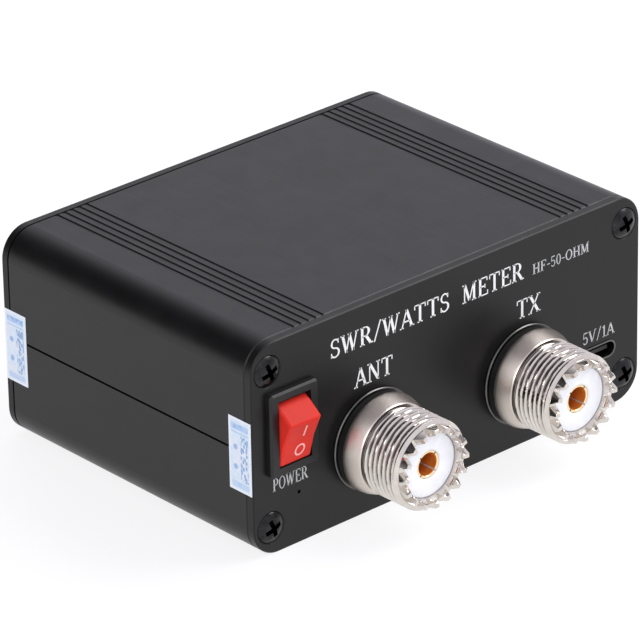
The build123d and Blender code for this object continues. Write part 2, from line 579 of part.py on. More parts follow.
save("battery_leads",
     [lead([(BAT[1], 14.0 + k * 2.2, 6.4), (29.5 + k * 2.4, 14.0 + k * 2.2, 6.4), (30.5 + k * 2.4, 6.0, 6.6),
            (30.5 + k * 2.4, -5.0, 8.8), (30.5 + k * 2.4, -13.0, 8.8)], 0.55, [2.2, 6.0, 6.0]) for k in (0, 1)])
save("switch_leads",
     [lead([(SW_X - 0.8, t_out, SW_Z), (SW_X - 0.8, -3.0, SW_Z), (SW_X - 0.8, -3.0, MB_Z0)], 0.55, [1.8]),
      lead([(SW_X + 0.8, t_out, SW_Z - 4.4), (SW_X + 0.8, 3.0, SW_Z - 4.4), (SW_X + 0.8, 3.0, MB_Z0)], 0.55, [3.0])])
save("coupler_cable",
     [lead([(-6.0 + k * 1.3, -6.6, CP_Z1), (-6.0 + k * 1.3, -6.6, 10.5), (-6.0 + k * 1.3, -1.0, 17.0),
            (-6.0 + k * 1.3, -1.0, MB_Z0)], 0.5, [3.5, 3.5]) for k in range(4)])
save("display_cable",
     [lead([(-3.9 + k * 2.6, BACK_IN - 5.95, WIN_Z + 13.0), (-3.9 + k * 2.6, 20.4, WIN_Z + 13.0),
            (-3.9 + k * 2.6, 20.4, MB_Z1)], 0.5, [2.6]) for k in range(4)])
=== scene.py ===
import json
import math
import random
import bpy
from mathutils import Matrix, Vector


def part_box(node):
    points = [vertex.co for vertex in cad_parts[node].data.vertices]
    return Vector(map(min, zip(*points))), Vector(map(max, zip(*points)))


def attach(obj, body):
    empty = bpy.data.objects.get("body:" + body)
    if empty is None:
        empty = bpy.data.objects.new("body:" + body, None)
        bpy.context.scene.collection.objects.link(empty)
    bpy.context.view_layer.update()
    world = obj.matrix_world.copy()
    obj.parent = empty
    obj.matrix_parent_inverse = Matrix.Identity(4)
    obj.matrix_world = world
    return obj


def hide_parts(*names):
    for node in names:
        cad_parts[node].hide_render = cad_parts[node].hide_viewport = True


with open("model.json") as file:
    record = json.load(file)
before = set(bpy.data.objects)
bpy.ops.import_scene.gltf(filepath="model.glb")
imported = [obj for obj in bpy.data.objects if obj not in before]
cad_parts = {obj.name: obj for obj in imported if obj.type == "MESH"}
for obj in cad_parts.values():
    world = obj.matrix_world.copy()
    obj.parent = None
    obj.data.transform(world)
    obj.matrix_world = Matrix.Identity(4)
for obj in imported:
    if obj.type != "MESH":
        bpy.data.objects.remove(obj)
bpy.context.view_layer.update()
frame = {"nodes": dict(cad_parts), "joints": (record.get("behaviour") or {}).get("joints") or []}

random.seed(7)
MM = 0.001
NODES = frame["nodes"]

# ---------------------------------------------------------------------------
# places, all from the frame
# ---------------------------------------------------------------------------
panel_lo, panel_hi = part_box("connector_panel")
FRONT = panel_lo.y
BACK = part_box("display_panel")[1].y
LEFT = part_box("lower_shell")[0].x
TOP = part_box("upper_shell")[1].z
W = panel_hi.x - panel_lo.x
H = TOP


def centre(node):
    lo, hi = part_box(node)
    return (lo + hi) / 2


# ---------------------------------------------------------------------------
# node helpers
# ---------------------------------------------------------------------------
class Mat:
    def __init__(self, name):
        self.m = bpy.data.materials.new(name)
        self.m.use_nodes = True
        self.nt = self.m.node_tree
        self.b = self.nt.nodes["Principled BSDF"]
        self.tc = self.nt.nodes.new("ShaderNodeTexCoord")

    def node(self, kind, **kw):
        n = self.nt.nodes.new(kind)
        for k, v in kw.items():
            setattr(n, k, v)
        return n

    def link(self, a, b):
        self.nt.links.new(a, b)

    def mapped(self, scale=(1, 1, 1), rot=(0, 0, 0), loc=(0, 0, 0)):
        n = self.node("ShaderNodeMapping")
        n.inputs["Scale"].default_value = scale
        n.inputs["Rotation"].default_value = rot
        n.inputs["Location"].default_value = loc
        self.link(self.tc.outputs["Object"], n.inputs["Vector"])
        return n.outputs["Vector"]

    def noise(self, vec, scale=1.0, detail=3.0, rough=0.55, dist=0.0):
        n = self.node("ShaderNodeTexNoise")
        n.inputs["Scale"].default_value = scale
        n.inputs["Detail"].default_value = detail
        n.inputs["Roughness"].default_value = rough
        n.inputs["Distortion"].default_value = dist
        self.link(vec, n.inputs["Vector"])
        return n.outputs["Fac"]

    def ramp(self, fac, stops, interp="LINEAR"):
        n = self.node("ShaderNodeValToRGB")
        n.color_ramp.interpolation = interp
        els = n.color_ramp.elements
        while len(els) > 1:
            els.remove(els[-1])
        els[0].position = stops[0][0]
        els[0].color = (*stops[0][1], 1) if len(stops[0][1]) == 3 else stops[0][1]
        for p, c in stops[1:]:
            e = els.new(p)
            e.color = (*c, 1) if len(c) == 3 else c
        self.link(fac, n.inputs["Fac"])
        return n.outputs["Color"]

    def vrange(self, val, a, b, c, d, clamp=True, smooth=False):
        n = self.node("ShaderNodeMapRange")
        n.clamp = clamp
        if smooth:
            n.interpolation_type = "SMOOTHSTEP"
        n.inputs["From Min"].default_value = a
        n.inputs["From Max"].default_value = b
        n.inputs["To Min"].default_value = c
        n.inputs["To Max"].default_value = d
        self.link(val, n.inputs["Value"])
        return n.outputs["Result"]

    def math(self, op, a, b=None, c=None):
        n = self.node("ShaderNodeMath", operation=op)
        for i, v in enumerate((a, b, c)):
            if v is None:
                continue
            if isinstance(v, (int, float)):
                n.inputs[i].default_value = v
            else:
                self.link(v, n.inputs[i])
        return n.outputs[0]

    def mix(self, fac, a, b, blend="MIX"):
        n = self.node("ShaderNodeMix", data_type="RGBA", blend_type=blend)
        if isinstance(fac, (int, float)):
            n.inputs[0].default_value = fac
        else:
            self.link(fac, n.inputs[0])
        for i, v in ((6, a), (7, b)):
            if isinstance(v, (tuple, list)):
                n.inputs[i].default_value = (*v, 1) if len(v) == 3 else v
            else:
                self.link(v, n.inputs[i])
        return n.outputs[2]

    def bump(self, height, strength=0.2, distance=0.0001, normal=None):
        n = self.node("ShaderNodeBump")
        n.inputs["Strength"].default_value = strength
        n.inputs["Distance"].default_value = distance
        self.link(height, n.inputs["Height"])
        if normal is not None:
            self.link(normal, n.inputs["Normal"])
        return n.outputs["Normal"]

    def xyz(self):
        n = self.node("ShaderNodeSeparateXYZ")
        self.link(self.tc.outputs["Object"], n.inputs[0])
        return n.outputs

    def set(self, **kw):
        for k, v in kw.items():
            name = k.replace("_", " ")
            if isinstance(v, (int, float, tuple, list)):
                self.b.inputs[name].default_value = v
            else:
                self.link(v, self.b.inputs[name])
        return self


# ---------------------------------------------------------------------------
# materials
# ---------------------------------------------------------------------------
def anodised(name, dark, light, rough=0.40, streak=0.0, grain=0.10, ior=1.5):
    m = Mat(name)
    obj = m.tc.outputs["Object"]
    mott = m.noise(obj, 160.0, 4.0, 0.6)
    fine = m.noise(obj, 5200.0, 2.0, 0.6)
    col = m.ramp(m.math("ADD", m.math("MULTIPLY", mott, 0.65), m.math("MULTIPLY", fine, 0.35)),
                 [(0.32, dark), (0.68, light)])
    rgh = m.vrange(mott, 0.3, 0.7, rough - 0.035, rough + 0.035)
    nrm = m.bump(fine, grain, 0.00004)
    if streak > 0:
        st = m.noise(m.mapped((4200.0, 18.0, 4200.0)), 1.0, 2.0, 0.6)
        nrm = m.bump(st, streak, 0.00002, nrm)
        rgh = m.math("ADD", rgh, m.vrange(st, 0.35, 0.65, -0.02, 0.02))
    m.set(Base_Color=col, Roughness=rgh, Normal=nrm)
    m.set(Metallic=0.0, IOR=ior)
    return m.m


def metal(name, dark, light, rough=0.14, scratch=0.05, aniso=0.0):
    m = Mat(name)
    obj = m.tc.outputs["Object"]
    patch = m.noise(obj, 420.0, 4.0, 0.6, 0.3)
    fine = m.noise(obj, 6500.0, 2.0, 0.5)
    col = m.ramp(patch, [(0.3, dark), (0.7, light)])
    rgh = m.math("ADD", m.vrange(patch, 0.3, 0.7, rough - 0.03, rough + 0.05), m.vrange(fine, 0.4, 0.7, 0.0, 0.03))
    m.set(Base_Color=col, Roughness=rgh, Normal=m.bump(fine, scratch, 0.00002))
    m.set(Metallic=1.0)
    return m.m


def socket_nickel(name):
    """Bright nickel on the thread and crown, satin on the turned flange."""
    m = Mat(name)
    obj = m.tc.outputs["Object"]
    y = m.xyz()[1]
    satin = m.vrange(y, FRONT - 0.00548, FRONT - 0.00530, 0.0, 1.0)
    patch = m.noise(obj, 380.0, 4.0, 0.6, 0.3)
    fine = m.noise(obj, 6500.0, 2.0, 0.5)
    col = m.ramp(patch, [(0.3, (0.60, 0.555, 0.51)), (0.7, (0.74, 0.70, 0.655))])
    col = m.mix(m.math("MULTIPLY", satin, 0.6), col, (0.64, 0.56, 0.50))
    # painted shade: the thread roots are painted darker than the crests, as shade in the grooves
    x, _, z = m.xyz()
    ca, ct = centre("ant_socket_body"), centre("tx_socket_body")
    dx = m.math("SUBTRACT", m.math("ABSOLUTE", m.math("SUBTRACT", x, (ca.x + ct.x) / 2)), (ct.x - ca.x) / 2)
    dz = m.math("SUBTRACT", z, ca.z)
    rr = m.math("SQRT", m.math("ADD", m.math("MULTIPLY", dx, dx), m.math("MULTIPLY", dz, dz)))
    root = m.math("MULTIPLY", m.vrange(rr, 0.00738, 0.00778, 1.0, 0.0), m.vrange(rr, 0.0066, 0.0068, 0.0, 1.0))
    shade_zone = m.math("MULTIPLY", m.math("SUBTRACT", 1.0, satin), m.vrange(y, FRONT - 0.01335, FRONT - 0.01325, 0.0, 1.0))
    col = m.mix(m.math("MULTIPLY", m.math("MULTIPLY", root, shade_zone), 0.80), col, (0.085, 0.078, 0.072))
    bright = m.vrange(patch, 0.3, 0.7, 0.035, 0.06)
    dull = m.vrange(patch, 0.3, 0.7, 0.33, 0.38)
    rgh = m.math("ADD", m.math("MULTIPLY", bright, m.math("SUBTRACT", 1.0, satin)), m.math("MULTIPLY", dull, satin))
    m.set(Base_Color=col, Roughness=rgh, Normal=m.bump(fine, 0.05, 0.00002))
    m.set(Metallic=1.0)
    return m.m


def contact_gold(name, node):
    """Pale gold on the rim; deeper orange down the bore is painted shade and bounce light in the hollow, with the bore
    less metallic.
    """
    lo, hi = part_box(node)
    m = Mat(name)
    x, y, z = m.xyz()
    dx = m.math("SUBTRACT", x, (lo.x + hi.x) / 2)
    dz = m.math("SUBTRACT", z, (lo.z + hi.z) / 2)
    rr = m.math("SQRT", m.math("ADD", m.math("MULTIPLY", dx, dx), m.math("MULTIPLY", dz, dz)))
    bore = m.vrange(rr, 0.00201, 0.00207, 1.0, 0.0)
    n = m.noise(m.tc.outputs["Object"], 700.0, 3.0, 0.6)
    rim = m.ramp(n, [(0.3, (0.90, 0.70, 0.38)), (0.7, (0.98, 0.82, 0.54))])
    # painted shade: a deeper, darker orange for the inside of the bore
    bore_shade = m.ramp(n, [(0.3, (0.62, 0.17, 0.022)), (0.7, (0.80, 0.27, 0.045))])
    m.set(Base_Color=m.mix(bore, rim, bore_shade), Metallic=m.vrange(bore, 0.0, 1.0, 1.0, 0.35),
          Roughness=m.vrange(bore, 0.0, 1.0, 0.22, 0.48), Normal=m.bump(n, 0.05, 0.00002))
    return m.m


def plastic(name, dark, light, rough=0.4, grain=0.08, scale=2600.0, ior=1.5, sub=0.0, coat=0.0):
    m = Mat(name)
    obj = m.tc.outputs["Object"]
    big = m.noise(obj, 220.0, 3.0, 0.55)
    fine = m.noise(obj, scale, 3.0, 0.6)
    col = m.ramp(big, [(0.3, dark), (0.7, light)])
    rgh = m.math("ADD", m.vrange(big, 0.3, 0.7, rough - 0.04, rough + 0.04), m.vrange(fine, 0.35, 0.7, -0.02, 0.04))
    m.set(Base_Color=col, Roughness=rgh, Normal=m.bump(fine, grain, 0.00004))
    m.set(IOR=ior)
    if sub > 0:
        m.set(Subsurface_Weight=sub, Subsurface_Radius=(0.0012, 0.0006, 0.0004), Subsurface_Scale=1.0)
    if coat > 0:
        m.set(Coat_Weight=coat, Coat_Roughness=0.08)
    return m.m


def circuit_board(name, axis="z"):
    """Solder mask with faint copper tracks under it."""
    m = Mat(name)
    sc = {"z": (900.0, 900.0, 1.0), "y": (900.0, 1.0, 900.0)}[axis]
    br = m.node("ShaderNodeTexBrick")
    br.inputs["Scale"].default_value = 0.35
    br.inputs["Mortar Size"].default_value = 0.05
    br.inputs["Color1"].default_value = (0.012, 0.085, 0.035, 1)
    br.inputs["Color2"].default_value = (0.016, 0.11, 0.045, 1)
    br.inputs["Mortar"].default_value = (0.03, 0.19, 0.07, 1)
    m.link(m.mapped(sc), br.inputs["Vector"])
    n = m.noise(m.tc.outputs["Object"], 700.0, 3.0, 0.6)
    col = m.mix(m.vrange(n, 0.3, 0.7, 0.0, 0.5), br.outputs["Color"], (0.01, 0.06, 0.03))
    m.set(Base_Color=col, Roughness=m.vrange(n, 0.3, 0.7, 0.22, 0.38), Normal=m.bump(br.outputs["Fac"], 0.15, 0.00005))
    return m.m


def label_material(name, node):
    """Printed film: pale ground, blue border, blue heading band, a column of
    small blocks on one side and two dots on the other. No writing."""
    lo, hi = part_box(node)
    m = Mat(name)
    x, y, z = m.xyz()
    u = m.vrange(y, lo.y, hi.y, 0.0, 1.0)
    v = m.vrange(z, lo.z, hi.z, 0.0, 1.0)
    wy, hz = hi.y - lo.y, hi.z - lo.z

    def band(val, a, b, soft=0.02):
        up = m.vrange(val, a - soft, a + soft, 0.0, 1.0)
        dn = m.vrange(val, b - soft, b + soft, 1.0, 0.0)
        return m.math("MULTIPLY", up, dn)

    ground = m.noise(m.tc.outputs["Object"], 900.0, 3.0, 0.6)
    base = m.ramp(ground, [(0.3, (0.62, 0.74, 0.86)), (0.7, (0.78, 0.86, 0.93))])
    tint = m.noise(m.tc.outputs["Object"], 420.0, 2.0, 0.5)
    base = m.mix(m.vrange(tint, 0.48, 0.62, 0.0, 0.45), base, (0.86, 0.80, 0.87))
    inside = m.math("MULTIPLY", band(u, 0.075, 0.925, 0.012), band(v, 0.032, 0.968, 0.005))
    border = m.math("SUBTRACT", 1.0, inside)
    base = m.mix(m.math("MULTIPLY", border, 0.85), base, (0.86, 0.89, 0.94))
    # heading band near the top, drawn as a fine weave of two blues
    head = m.math("MULTIPLY", band(u, 0.12, 0.88), band(v, 0.845, 0.925, 0.008))
    wv = m.node("ShaderNodeTexWave")
    wv.inputs["Scale"].default_value = 900.0
    wv.inputs["Distortion"].default_value = 4.0
    wv.inputs["Detail"].default_value = 2.0
    m.link(m.tc.outputs["Object"], wv.inputs["Vector"])
    headcol = m.ramp(wv.outputs["Fac"], [(0.2, (0.16, 0.36, 0.72)), (0.8, (0.42, 0.58, 0.86))])
    base = m.mix(m.math("MULTIPLY", head, 0.85), base, headcol)
    foot = m.math("MULTIPLY", band(u, 0.12, 0.88), band(v, 0.05, 0.125, 0.006))
    base = m.mix(m.math("MULTIPLY", foot, 0.55), base, headcol)
    rule = m.math("MULTIPLY", band(u, 0.12, 0.88), band(v, 0.795, 0.812, 0.003))
    base = m.mix(m.math("MULTIPLY", rule, 0.6), base, (0.22, 0.40, 0.72))
    # column of small blocks on the outer side
    vo = m.node("ShaderNodeTexVoronoi", distance="CHEBYCHEV")
    vo.inputs["Scale"].default_value = 1.0
    m.link(m.mapped((1.0, 2300.0, 1350.0)), vo.inputs["Vector"])
    ink = m.vrange(vo.outputs["Distance"], 0.34, 0.50, 1.0, 0.0)
    col = m.math("MULTIPLY", band(u, 0.13, 0.47), band(v, 0.15, 0.77, 0.01))
    base = m.mix(m.math("MULTIPLY", m.math("MULTIPLY", col, ink), 0.85), base, (0.13, 0.28, 0.58))
    # two dots on the inner side
    for vc in (0.60, 0.33):
        du = m.math("MULTIPLY", m.math("SUBTRACT", u, 0.70), wy)
        dv = m.math("MULTIPLY", m.math("SUBTRACT", v, vc), hz)
        rr = m.math("SQRT", m.math("ADD", m.math("MULTIPLY", du, du), m.math("MULTIPLY", dv, dv)))
        dot = m.vrange(rr, 0.00036, 0.00062, 1.0, 0.0)
        base = m.mix(m.math("MULTIPLY", dot, 0.75), base, (0.16, 0.32, 0.66))
    # printed security lines, very faint
    wl = m.node("ShaderNodeTexWave", wave_type="BANDS", bands_direction="Z")
    wl.inputs["Scale"].default_value = 520.0
    wl.inputs["Distortion"].default_value = 6.0
    wl.inputs["Detail Scale"].default_value = 300.0
    m.link(m.tc.outputs["Object"], wl.inputs["Vector"])
    base = m.mix(m.math("MULTIPLY", wl.outputs["Fac"], 0.22), base, (0.42, 0.60, 0.88))
    m.set(Base_Color=base, Roughness=m.vrange(ground, 0.3, 0.7, 0.28, 0.4), Normal=m.bump(ground, 0.08, 0.00003))
    return m.m


def windings(name):
    m = Mat(name)
    n = m.noise(m.tc.outputs["Object"], 900.0, 3.0, 0.6)
    m.set(Base_Color=m.ramp(n, [(0.3, (0.42, 0.13, 0.04)), (0.7, (0.62, 0.24, 0.09))]), Metallic=1.0,
          Roughness=m.vrange(n, 0.3, 0.7, 0.2, 0.36))
    return m.m


def glassy(name, tint, rough):
    m = Mat(name)
    n = m.noise(m.tc.outputs["Object"], 120.0, 3.0, 0.6)
    m.set(Base_Color=m.ramp(n, [(0.3, tint), (0.7, tuple(min(1, c * 1.25 + 0.002) for c in tint))]),
          Roughness=m.vrange(n, 0.3, 0.7, rough, rough + 0.04))
    m.set(IOR=1.49, Coat_Weight=0.6, Coat_Roughness=0.03)
    return m.m


def display_window_glass(name, node):
    """Smoked window with the unlit screen's active area showing faintly behind it."""
    lo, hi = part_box(node)
    m = Mat(name)
    x, y, z = m.xyz()
    n = m.noise(m.tc.outputs["Object"], 120.0, 3.0, 0.6)
    dx = m.math("ABSOLUTE", m.math("SUBTRACT", x, (lo.x + hi.x) / 2))
    dz = m.math("ABSOLUTE", m.math("SUBTRACT", z, (lo.z + hi.z) / 2 - 0.0005))
    inx = m.vrange(dx, 0.01465, 0.01475, 1.0, 0.0)
    inz = m.vrange(dz, 0.00675, 0.00685, 1.0, 0.0)
    act = m.math("MULTIPLY", inx, inz)
    smoke = m.ramp(n, [(0.3, (0.0016, 0.0016, 0.0018)), (0.7, (0.0030, 0.0030, 0.0034))])
    screen = m.ramp(n, [(0.3, (0.0150, 0.0165, 0.0185)), (0.7, (0.0190, 0.0210, 0.0235))])
    m.set(Base_Color=m.mix(act, smoke, screen), Roughness=m.vrange(n, 0.3, 0.7, 0.04, 0.07))
    m.set(IOR=1.42)
    return m.m


CASE = anodised("case_anodised", (0.0036, 0.0035, 0.0038), (0.0062, 0.0060, 0.0066), 0.38, 0.06, 0.10, 1.42)
PLATE = anodised("plate_anodised", (0.0046, 0.0045, 0.0046), (0.0070, 0.0068, 0.0069), 0.38, 0.0, 0.14, 1.36)
SCREW = metal("black_oxide", (0.018, 0.018, 0.019), (0.050, 0.050, 0.052), 0.22, 0.12)
NICKEL = metal("nickel_plate", (0.62, 0.58, 0.53), (0.74, 0.70, 0.66), 0.14, 0.06)
DULL = metal("nickel_dull", (0.10, 0.097, 0.094), (0.16, 0.156, 0.152), 0.30, 0.10)
SOCKET = socket_nickel("socket_nickel")
PTFE = plastic("ptfe", (0.80, 0.81, 0.85), (0.90, 0.91, 0.94), 0.35, 0.05, 1800.0, 1.38, 0.12)
GOLD_A = contact_gold("contact_gold_ant", "ant_center_contact")
GOLD_T = contact_gold("contact_gold_tx", "tx_center_contact")
RUBBER = plastic("rubber", (0.005, 0.005, 0.005), (0.010, 0.010, 0.010), 0.55, 0.2, 2200.0, 1.45)
SWITCH = plastic("switch_black", (0.0055, 0.0055, 0.0060), (0.0095, 0.0095, 0.0100), 0.42, 0.14, 2600.0, 1.42)
RED = plastic("rocker_red", (0.58, 0.022, 0.013), (0.68, 0.032, 0.019), 0.44, 0.05, 2400.0, 1.24, 0.05)
BRASS = metal("brass_part", (0.60, 0.42, 0.16), (0.72, 0.52, 0.22), 0.25, 0.08)
STEEL = metal("spring_steel", (0.50, 0.50, 0.50), (0.62, 0.62, 0.62), 0.24, 0.08)
BOARD = circuit_board("board_mask", "z")
BOARD_Y = circuit_board("board_mask_upright", "y")
CHIP = plastic("moulded_epoxy", (0.010, 0.010, 0.010), (0.022, 0.022, 0.022), 0.55, 0.3, 3200.0, 1.5)
FERRITE = plastic("ferrite", (0.020, 0.019, 0.019), (0.045, 0.043, 0.042), 0.5, 0.4, 1800.0, 1.6)
COPPER = windings("enamelled_wire")
TRIM = plastic("trimmer_blue", (0.02, 0.08, 0.36), (0.03, 0.12, 0.48), 0.4, 0.1, 2000.0)
WHITE = plastic("moulded_white", (0.70, 0.69, 0.66), (0.80, 0.79, 0.76), 0.42, 0.1, 2000.0)
LED = plastic("light_lens", (0.60, 0.10, 0.08), (0.72, 0.16, 0.12), 0.12, 0.02, 1500.0, 1.5, 0.3)
FOIL = metal("pouch_foil", (0.55, 0.56, 0.58), (0.68, 0.69, 0.71), 0.36, 0.3)
FOAM = plastic("foam", (0.10, 0.10, 0.10), (0.18, 0.18, 0.18), 0.9, 0.8, 1400.0)
LEADS = plastic("lead_insulation", (0.42, 0.02, 0.015), (0.52, 0.03, 0.02), 0.4, 0.05, 1600.0)
WINDOW = display_window_glass("window_smoke", "display_window")
GLASS = glassy("panel_glass", (0.004, 0.004, 0.006), 0.03)
INK = plastic("panel_ink", (0.74, 0.74, 0.74), (0.86, 0.86, 0.86), 0.5, 0.25, 3800.0)
INK_THIN = plastic("panel_ink_thin", (0.36, 0.37, 0.37), (0.60, 0.61, 0.61), 0.5, 0.25, 3000.0)
MARK = plastic("rocker_ink", (0.84, 0.36, 0.34), (0.90, 0.46, 0.44), 0.4, 0.1, 3800.0)
LABEL_F = label_material("label_front", "seal_label_front")
LABEL_R = label_material("label_rear", "seal_label_rear")

LOOK = {
    "upper_shell": CASE, "lower_shell": CASE, "connector_panel": PLATE, "display_panel": PLATE,
    "connector_panel_screws": SCREW, "display_panel_screws": SCREW,
    "seal_label_front": LABEL_F, "seal_label_rear": LABEL_R,
    "switch_housing": SWITCH, "switch_rocker": RED, "switch_plunger": BRASS, "switch_spring": STEEL,
    "switch_contact_blade": BRASS, "switch_terminals": BRASS,
    "usb_socket_shell": DULL, "usb_tongue": CHIP, "charger_board": BOARD, "board_standoffs": WHITE,
    "charger_components": CHIP, "coupler_board": BOARD, "through_line": COPPER, "line_sleeve": PTFE,
    "current_transformer_core": FERRITE, "current_transformer_winding": COPPER,
    "voltage_transformer_core": FERRITE, "voltage_transformer_winding": COPPER, "coupler_components": CHIP,
    "main_board": BOARD, "microcontroller": CHIP, "signal_chips": CHIP, "trimmers": TRIM,
    "board_connectors": WHITE, "charge_light": LED, "charge_light_holder": SWITCH, "display_board": BOARD_Y,
    "display_glass": GLASS, "display_window": WINDOW, "display_gasket": RUBBER, "display_studs": STEEL,
    "battery_cell": FOIL, "battery_pad": FOAM, "battery_leads": LEADS, "switch_leads": LEADS,
    "coupler_cable": LEADS, "display_cable": LEADS,
}
for s in ("ant", "tx"):
    LOOK.update({s + "_socket_body": SOCKET, s + "_insulator": PTFE,
                 s + "_center_contact": GOLD_A if s == "ant" else GOLD_T, s + "_flat_washer": DULL, s + "_seal_ring": RUBBER, s + "_lock_washer": NICKEL,
                 s + "_nut": NICKEL})
for name, o in NODES.items():
    o.data.materials.clear()
    o.data.materials.append(LOOK[name])


# ---------------------------------------------------------------------------
# mesh helpers
# ---------------------------------------------------------------------------
def add_mesh(name, verts, faces, mat, body, smooth_deg=None):
    me = bpy.data.meshes.new(name)
    me.from_pydata(verts, [], faces)
    me.validate()
    me.update()
    if smooth_deg is not None:
        for p in me.polygons:
            p.use_smooth = True
        me.set_sharp_from_angle(angle=math.radians(smooth_deg))
    me.materials.append(mat)
    ob = bpy.data.objects.new(name, me)
    bpy.context.scene.collection.objects.link(ob)
    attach(ob, body)
    return ob


# ---------------------------------------------------------------------------
# UHF sockets: real 5/8-24 helix and a toothed crown, turned about the bore
# ---------------------------------------------------------------------------
PITCH = 25.4 / 24
THREAD_DEPTH = 0.62
TEETH = 16


def smoothstep(a, b, x):
    t = max(0.0, min(1.0, (x - a) / (b - a)))
    return t * t * (3 - 2 * t)


def socket_mesh(tag):
    lo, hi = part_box(tag + "_socket_body")
    xc, zc = (lo.x + hi.x) / 2 / MM, (lo.z + hi.z) / 2 / MM
    yf = FRONT / MM
    d_tip = yf - lo.y / MM                 # crown tips, in front of the plate
    d_end = yf - hi.y / MM                 # end of the shank inside the case
    r_fl = (hi.x - lo.x) / 2 / MM
    d_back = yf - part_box(tag + "_seal_ring")[0].y / MM
    NT = TEETH * 24
    T0, T1 = 6.15, 13.2
    rows = []                              # each row: function theta -> (r, d)

    def ring(r, d):
        rows.append(lambda th, r=r, d=d: (r, d))

    ring(4.2, d_end)
    ring(6.25, d_end)
    ring(6.35, d_end + 0.1)
    ring(6.35, d_back)
    ring(r_fl - 0.2, d_back)
    for a in (15, 35, 55, 75, 90):
        ring(r_fl - 0.2 + 0.2 * math.sin(math.radians(a)), d_back + 0.2 - 0.2 * math.cos(math.radians(a)))
    ring(r_fl, 2.45)
    for k in range(1, 13):                 # rounded shoulder down to the thread
        t = k / 12
        ring(r_fl - 0.91 * t ** 1.25, 2.45 + 2.85 * t)
    ring(7.86, 5.38)
    ring(7.32, 5.44)
    ring(7.24, 5.52)
    ring(7.24, 5.80)
    n = int((T1 - T0) / PITCH * 12)
    for i in range(n + 1):
        d = T0 - 0.25 + (T1 - T0 + 0.25) * i / n

        def f(th, d=d):
            ph = (d / PITCH - th / (2 * math.pi)) % 1.0
            tri = abs(2 * ph - 1)                      # 1 at the root, 0 at the crest
            cut = max(0.0, min(1.0, (tri - 0.11) / 0.76))
            fade = smoothstep(T1 + 0.05, T1 - 0.30, d)
            r = 7.94 - THREAD_DEPTH * cut * fade
            lead = smoothstep(T0 - 0.3, T0 + 0.25, d)
            return (r * lead + 7.26 * (1 - lead), d)
        rows.append(f)

    def tooth(th):
        ps = (th * TEETH / (2 * math.pi) + 0.5) % 1.0 - 0.5
        a = abs(ps)
        return 1.0 if a < 0.126 else max(0.0, 1 - (a - 0.125) / (7 / 24))

    BASE, ROOT = 13.6, 13.68

    def r_out(d):
        return 7.25 - 0.10 * max(0.0, (d - BASE) / (15.3 - BASE))

    def r_in(d):
        return 5.75 if d < 14.1 else 5.75 + 0.45 * ((d - 14.1) / 1.2)

    ring(7.94, 13.25)
    ring(7.30, 13.55)
    for fr in (0.0, 0.5, 0.96):
        rows.append(lambda th, fr=fr: ((lambda dt: (r_out(BASE + fr * (dt - BASE)), BASE + fr * (dt - BASE)))(
            ROOT + (d_tip - ROOT) * tooth(th))))
    rows.append(lambda th: ((lambda dt: (r_out(dt) - 0.06, dt))(ROOT + (d_tip - ROOT) * tooth(th))))
    rows.append(lambda th: ((lambda dt: ((r_out(dt) + r_in(dt)) / 2, dt))(ROOT + (d_tip - ROOT) * tooth(th))))
    rows.append(lambda th: ((lambda dt: (r_in(dt) + 0.06, dt))(ROOT + (d_tip - ROOT) * tooth(th))))
    for fr in (0.93, 0.6, 0.3, 0.0):
        rows.append(lambda th, fr=fr: ((lambda dt: (r_in(13.1 + fr * (dt - 13.1)), 13.1 + fr * (dt - 13.1)))(
            ROOT + (d_tip - ROOT) * tooth(th))))
    ring(5.75, 4.2)
    ring(4.2, 4.2)
    verts, faces = [], []
    for f in rows:
        for j in range(NT):
            th = 2 * math.pi * j / NT
            r, d = f(th)
            verts.append(((xc + r * math.cos(th)) * MM, (yf - d) * MM, (zc + r * math.sin(th)) * MM))
    nr = len(rows)
    for i in range(nr):
        k = (i + 1) % nr
        for j in range(NT):
            j2 = (j + 1) % NT
            faces.append((i * NT + j, k * NT + j, k * NT + j2, i * NT + j2))
    ob = add_mesh(tag + "_socket_threaded", verts, faces, SOCKET, "case", 30)
    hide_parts(tag + "_socket_body")
    return ob


for s in ("ant", "tx"):
    socket_mesh(s)

# ---------------------------------------------------------------------------
# lettering: a small serif alphabet drawn as strokes, cap height 1
# stroke: (x0, y0, x1, y1, thickness); arcs as (cx, cy, rx, ry, a0, a1, t_side, t_top)
# ---------------------------------------------------------------------------
TK, TN, SF = 0.155, 0.076, 0.062


def serif(x, y, w=0.30):
    return ("s", x - w / 2, y, x + w / 2, y, SF)


